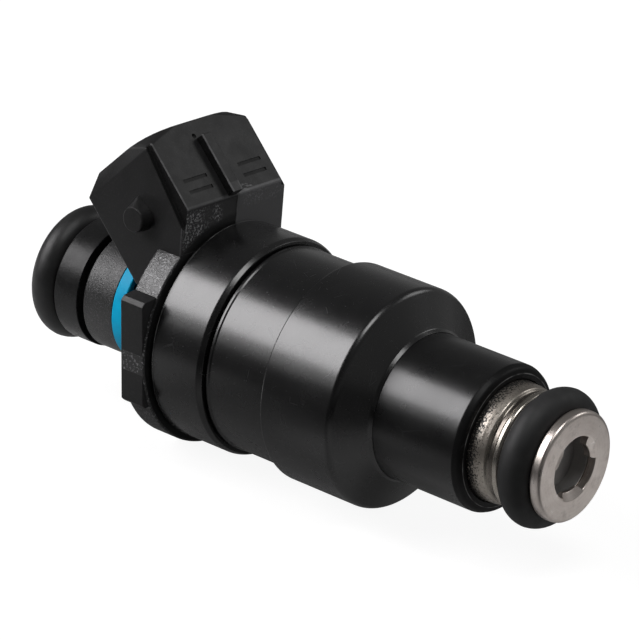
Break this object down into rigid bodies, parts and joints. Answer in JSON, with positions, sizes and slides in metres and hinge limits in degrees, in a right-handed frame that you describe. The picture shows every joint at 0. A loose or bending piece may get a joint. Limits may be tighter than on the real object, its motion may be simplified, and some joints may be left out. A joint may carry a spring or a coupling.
{
  "type": "fuel injector",
  "caption": "Port fuel injector with black stepped steel body, leaning two-blade socket, rubber sealing rings at both ends, blue marking ring and a sprung needle valve inside.",
  "frame": {"origin": "on the injector's axis, halfway along the straight wall of the manifold pilot", "axes": "+X along the axis towards the nozzle, +Z towards the electrical socket, +Y completes a right-handed frame"},
  "size_m": [0.0686, 0.0256, 0.0336],
  "materials": {
    "stainless": "fine satin stainless",
    "neck_steel": "dull turned steel",
    "hard_steel": "ground steel",
    "spring_steel": "drawn spring wire",
    "black_paint": "glossy black paint",
    "black_moulding": "fine textured glass-filled black",
    "rubber": "satin black rubber",
    "blue_plastic": "bright blue",
    "bobbin_plastic": "dark moulded",
    "copper": "enamelled copper wire",
    "tinned_brass": "tinned satin",
    "filter_plastic": "natural nylon",
    "filter_mesh": "fine woven"
  },
  "bodies": {
    "injector": {"tip_plate_cap": "stainless", "manifold_ring": "rubber", "valve_body": "neck_steel", "orifice_disc": "stainless", "valve_seat": "hard_steel", "needle_guide": "hard_steel", "guide_sleeve": "stainless", "return_spring": "spring_steel", "adjusting_tube": "stainless", "inlet_tube": "neck_steel", "filter_frame": "filter_plastic", "filter_mesh": "filter_mesh", "lower_housing": "black_paint", "coil_housing": "black_paint", "upper_housing": "black_paint", "coil_bobbin": "bobbin_plastic", "coil_winding": "copper", "upper_coil_seal": "rubber", "lower_coil_seal": "rubber", "terminal_left": "tinned_brass", "terminal_right": "tinned_brass", "moulded_head": "black_moulding", "colour_ring": "blue_plastic", "rail_ring": "rubber"},
    "plunger": {"needle": "hard_steel", "armature": "neck_steel"}
  },
  "joints": [
    {"name": "needle_lift", "type": "slide", "parent": "injector", "child": "plunger", "axis": [-1, 0, 0], "range_m": [0, 0.0001], "stiffness_N_per_m": 2000, "springref_m": -0.002, "deforming": ["return_spring"]}
  ]
}
